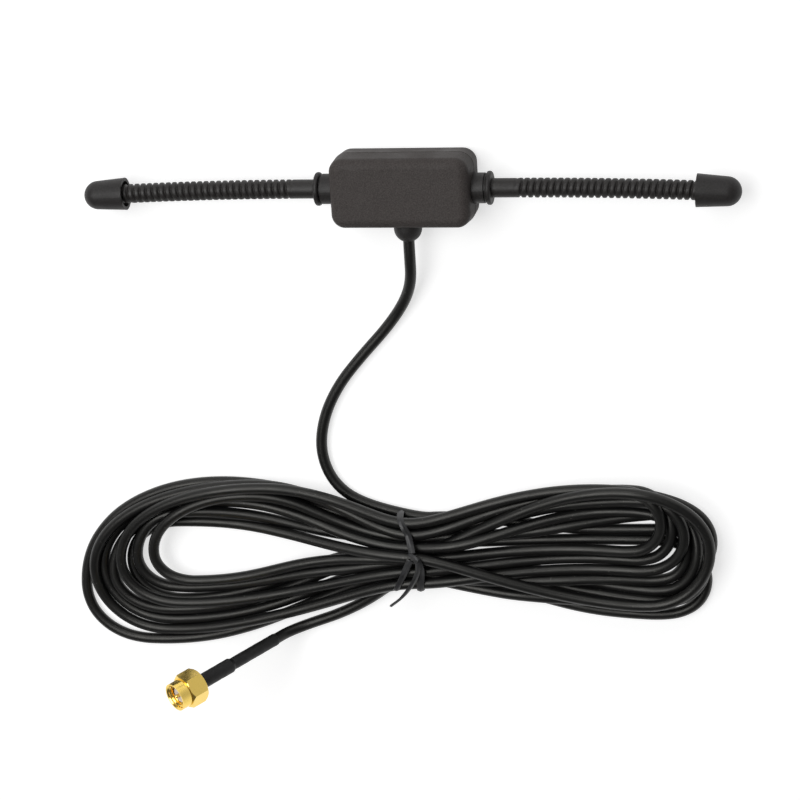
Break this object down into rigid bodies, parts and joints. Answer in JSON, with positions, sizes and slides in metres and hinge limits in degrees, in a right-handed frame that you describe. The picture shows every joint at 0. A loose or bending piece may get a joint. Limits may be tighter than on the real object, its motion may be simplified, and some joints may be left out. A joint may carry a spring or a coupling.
{
  "type": "cellular antenna",
  "caption": "Adhesive dipole antenna: small moulded box with ribbed flexible arms, capped ends, a coaxial cable tied in a hank and a gold screw-on plug.",
  "frame": {"origin": "centre of the adhesive face, on the underside of the release liner", "axes": "+X along the arms, +Y away from the side the cable leaves, +Z out of the front cover"},
  "size_m": [0.1732, 0.1357, 0.0356],
  "materials": {
    "housing": "fine matte grain",
    "foam": "matte foam",
    "liner": "satin",
    "board": "satin",
    "solder": "bright",
    "rubber": "matte",
    "arm_rubber": "satin",
    "element_metal": "drawn",
    "braid": "tinned",
    "dielectric": "satin",
    "copper": "bright",
    "cable_jacket": "gloss",
    "tie_plastic": "satin",
    "heat_shrink": "matte",
    "gold": "polished plating",
    "insulator": "satin"
  },
  "bodies": {
    "antenna": {"front_cover": "housing", "rear_cover": "housing", "foam_pad": "foam", "release_liner": "liner", "circuit_board": "board", "solder_joints": "solder", "right_grommet": "rubber", "left_grommet": "rubber", "cable_gland": "rubber", "right_arm_sleeve": "arm_rubber", "left_arm_sleeve": "arm_rubber", "right_end_cap": "rubber", "left_end_cap": "rubber", "right_radiator": "element_metal", "left_radiator": "element_metal", "coax_braid": "braid", "coax_dielectric": "dielectric", "coax_centre": "copper", "cable_lead": "cable_jacket", "cable_hank": "cable_jacket", "cable_tail": "cable_jacket", "twist_tie": "tie_plastic", "heat_shrink": "heat_shrink", "crimp_ferrule": "gold", "plug_body": "gold", "centre_pin": "gold", "retaining_ring": "gold", "plug_insulator": "insulator"},
    "nut": {"coupling_nut": "gold"}
  },
  "joints": [
    {"name": "nut_spin", "type": "hinge", "parent": "antenna", "child": "nut", "pos_m": [-0.05787, -0.12276, 0.03039], "axis": [-0.5944, -0.1604, 0.788], "continuous": true}
  ]
}
